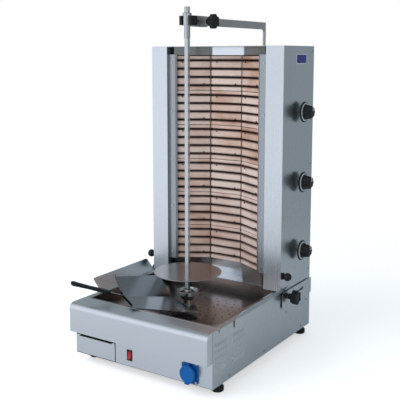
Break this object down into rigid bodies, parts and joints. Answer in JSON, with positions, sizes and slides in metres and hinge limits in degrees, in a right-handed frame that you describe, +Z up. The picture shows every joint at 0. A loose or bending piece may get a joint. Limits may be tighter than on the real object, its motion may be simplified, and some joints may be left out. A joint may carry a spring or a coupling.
{
  "type": "vertical rotisserie broiler",
  "caption": "Countertop electric vertical broiler: brick-faced heating tower, turning skewer with plate, drip tray, drawer, controls and a loose scoop.",
  "frame": {"origin": "middle of the whole outline in X and Y, at the underside of the feet", "axes": "+Z up, -Y towards the cook, +X towards the side with the control knobs"},
  "size_m": [0.5875, 0.793, 1.092],
  "materials": {
    "steel_sheet": "satin brushed stainless sheet",
    "steel_polished": "polished stainless",
    "brick": "matt fired clay",
    "coil": "oxidised heating wire",
    "black_plastic": "moulded black",
    "rubber": "matt",
    "blue_plastic": "semi-gloss blue",
    "red_plastic": "glossy red",
    "arm_steel": "dull grey",
    "fastener": "plain steel",
    "badge": "dark blue enamel",
    "board": "pale insulating board",
    "motor": "dark grey paint",
    "bronze": "plain bronze"
  },
  "bodies": {
    "base": {"right_side_panel": "steel_sheet", "left_side_panel": "steel_sheet", "front_fascia": "steel_sheet", "front_lower_panel": "steel_sheet", "base_floor": "steel_sheet", "rear_base_panel": "steel_sheet", "tray_surround": "steel_sheet", "drip_tray": "steel_polished", "base_rails": "steel_sheet", "rubber_feet": "rubber", "base_fasteners": "fastener", "switch_bezel": "black_plastic", "socket_body": "blue_plastic", "socket_contacts": "bronze", "socket_fasteners": "fastener", "cable_gland": "black_plastic", "terminal_block": "black_plastic", "motor_bracket": "steel_sheet", "gearbox": "motor", "hub_bush": "bronze", "gear_motor": "motor", "support_arm": "arm_steel", "arm_bracket": "steel_sheet"},
    "tower": {"right_tower_panel": "steel_sheet", "left_tower_panel": "steel_sheet", "tower_back_panel": "steel_sheet", "tower_top_panel": "steel_sheet", "tower_floor": "steel_sheet", "reflector_panels": "steel_polished", "insulation_board": "board", "coil_pins": "coil", "retaining_strips": "steel_sheet", "heat_regulators": "black_plastic", "pull_knobs": "black_plastic", "name_plate": "badge", "tower_fasteners": "fastener", "heater_bricks_lower": "brick", "heater_bricks_middle": "brick", "heater_bricks_upper": "brick", "heating_coils_lower": "coil", "heating_coils_middle": "coil", "heating_coils_upper": "coil"},
    "drawer": {"grease_drawer": "steel_sheet"},
    "rocker": {"switch_rocker": "red_plastic"},
    "lid": {"socket_lid": "blue_plastic"},
    "hub": {"drive_hub": "steel_polished"},
    "skewer": {"skewer_rod": "steel_polished", "skewer_collar": "steel_polished", "meat_plate": "steel_polished"},
    "carriage": {"bearing_block": "black_plastic", "arm_carriage": "arm_steel", "carriage_bolts": "fastener"},
    "arm_knob": {"arm_clamp_knob": "black_plastic"},
    "right_clamp": {"right_clamp_knob": "black_plastic"},
    "left_clamp": {"left_clamp_knob": "black_plastic"},
    "scoop": {"scoop_blade": "steel_polished", "scoop_grip": "black_plastic"},
    "knob_lower": {"control_knob_lower": "black_plastic"},
    "knob_middle": {"control_knob_middle": "black_plastic"},
    "knob_upper": {"control_knob_upper": "black_plastic"}
  },
  "joints": [
    {"name": "skewer_drive", "type": "hinge", "parent": "base", "child": "hub", "pos_m": [0, -0.0985, 0.129], "axis": [0, 0, 1], "continuous": true},
    {"name": "skewer_lift", "type": "slide", "parent": "hub", "child": "skewer", "axis": [0, 0, 1], "range_m": [0, 0.1]},
    {"name": "tower_slide", "type": "slide", "parent": "base", "child": "tower", "axis": [0, 1, 0], "range_m": [0, 0.105]},
    {"name": "bearing_slide", "type": "slide", "parent": "base", "child": "carriage", "axis": [0, 1, 0], "range_m": [0, 0.03]},
    {"name": "arm_knob_turn", "type": "hinge", "parent": "carriage", "child": "arm_knob", "pos_m": [0.031, -0.0145, 1.0505], "axis": [1, 0, 0], "continuous": true},
    {"name": "right_clamp_turn", "type": "hinge", "parent": "tower", "child": "right_clamp", "pos_m": [0.269, 0.1075, 0.174], "axis": [1, 0, 0], "continuous": true},
    {"name": "left_clamp_turn", "type": "hinge", "parent": "tower", "child": "left_clamp", "pos_m": [-0.269, 0.1075, 0.174], "axis": [1, 0, 0], "continuous": true},
    {"name": "drawer_slide", "type": "slide", "parent": "base", "child": "drawer", "axis": [0, -1, 0], "range_m": [0, 0.24]},
    {"name": "rocker_tilt", "type": "hinge", "parent": "base", "child": "rocker", "pos_m": [-0.04, -0.3445, 0.065], "axis": [1, 0, 0], "range_deg": [0, 16]},
    {"name": "lid_open", "type": "hinge", "parent": "base", "child": "lid", "pos_m": [0.177, -0.3555, 0.097], "axis": [-1, 0, 0], "range_deg": [0, 65], "stiffness_Nm_per_rad": 0.03, "springref_deg": -22.92},
    {"name": "scoop_lift", "type": "slide", "parent": "base", "child": "scoop", "axis": [-0.5199, -0.7298, 0.4439], "range_m": [0, 0.12]},
    {"name": "knob_lower_turn", "type": "hinge", "parent": "tower", "child": "knob_lower", "pos_m": [0.25, 0.1755, 0.314], "axis": [1, 0, 0], "range_deg": [0, 270]},
    {"name": "knob_middle_turn", "type": "hinge", "parent": "tower", "child": "knob_middle", "pos_m": [0.25, 0.1755, 0.54], "axis": [1, 0, 0], "range_deg": [0, 270]},
    {"name": "knob_upper_turn", "type": "hinge", "parent": "tower", "child": "knob_upper", "pos_m": [0.25, 0.1755, 0.767], "axis": [1, 0, 0], "range_deg": [0, 270]}
  ]
}
